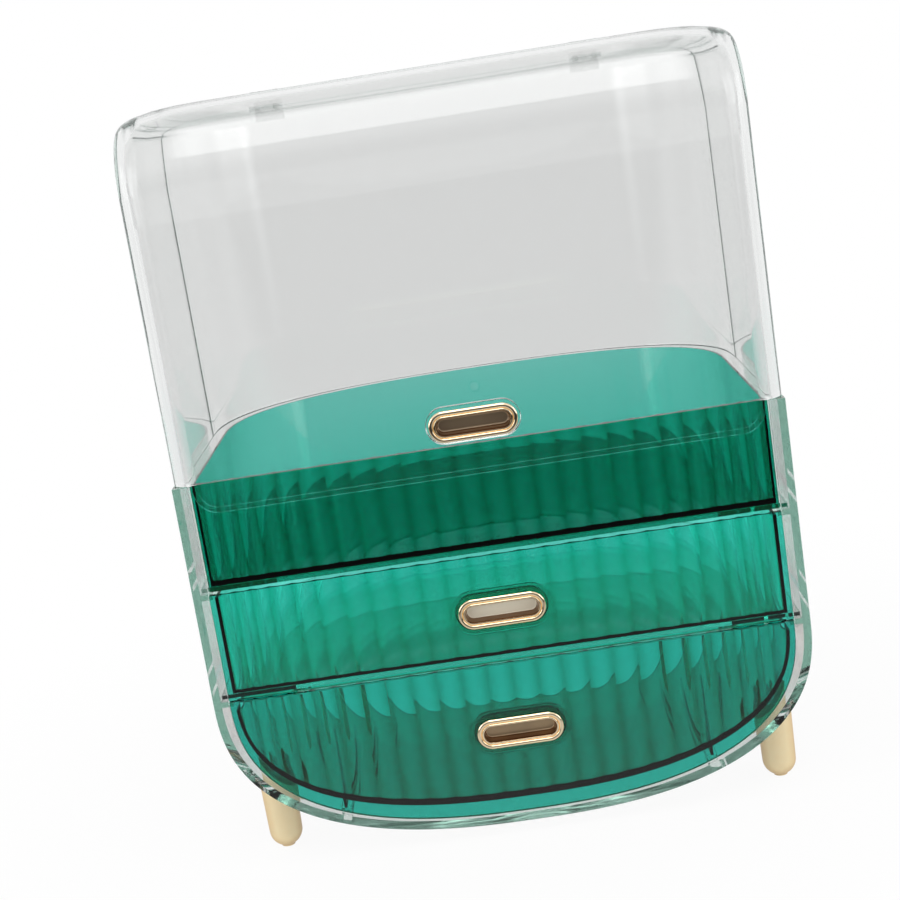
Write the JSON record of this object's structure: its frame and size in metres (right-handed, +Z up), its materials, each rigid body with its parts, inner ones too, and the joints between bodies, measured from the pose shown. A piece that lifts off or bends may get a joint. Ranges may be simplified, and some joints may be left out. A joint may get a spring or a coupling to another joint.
{
  "type": "makeup organizer",
  "caption": "Clear countertop makeup organizer with a hinged dust lid, an open top tray, pull-out drawers with stadium pulls, a rounded bottom and peg feet.",
  "frame": {"origin": "middle of the footprint, on the surface that the feet stand on", "axes": "+X to the right seen from the front, +Y from the front to the back, +Z up"},
  "size_m": [0.2994, 0.2316, 0.3843],
  "materials": {
    "clear_plastic": "clear gloss",
    "tray_green": "see-through gloss",
    "drawer_green": "see-through gloss",
    "handle_gold": "polished",
    "foot_gold": "satin",
    "steel": "satin"
  },
  "bodies": {
    "casing": {"lower_casing": "clear_plastic", "rear_hood": "clear_plastic", "tray": "tray_green", "shelf_upper": "clear_plastic", "shelf_lower": "clear_plastic", "foot_front_left": "foot_gold", "foot_front_right": "foot_gold", "foot_rear_left": "foot_gold", "foot_rear_right": "foot_gold", "foot_screw_front_left": "steel", "foot_screw_front_right": "steel", "foot_screw_rear_left": "steel", "foot_screw_rear_right": "steel", "hood_hinge_leaf_left": "clear_plastic", "hood_hinge_leaf_right": "clear_plastic", "hinge_pin_left": "steel", "hinge_pin_right": "steel", "hinge_rivet_left_inner": "steel", "hinge_rivet_left_outer": "steel", "hinge_rivet_right_inner": "steel", "hinge_rivet_right_outer": "steel"},
    "lid": {"lid": "clear_plastic", "lid_handle": "handle_gold", "lid_hinge_leaf_left": "clear_plastic", "lid_hinge_leaf_right": "clear_plastic"},
    "middle_drawer": {"middle_drawer": "drawer_green", "middle_handle": "handle_gold"},
    "bottom_drawer": {"bottom_drawer": "drawer_green", "bottom_handle": "handle_gold"}
  },
  "joints": [
    {"name": "lid_hinge", "type": "hinge", "parent": "casing", "child": "lid", "pos_m": [0, 0.0105, 0.3827], "axis": [-1, 0, 0], "range_deg": [0, 130]},
    {"name": "middle_drawer_slide", "type": "slide", "parent": "casing", "child": "middle_drawer", "axis": [0, -1, 0], "range_m": [0, 0.13]},
    {"name": "bottom_drawer_slide", "type": "slide", "parent": "casing", "child": "bottom_drawer", "axis": [0, -1, 0], "range_m": [0, 0.095]}
  ]
}
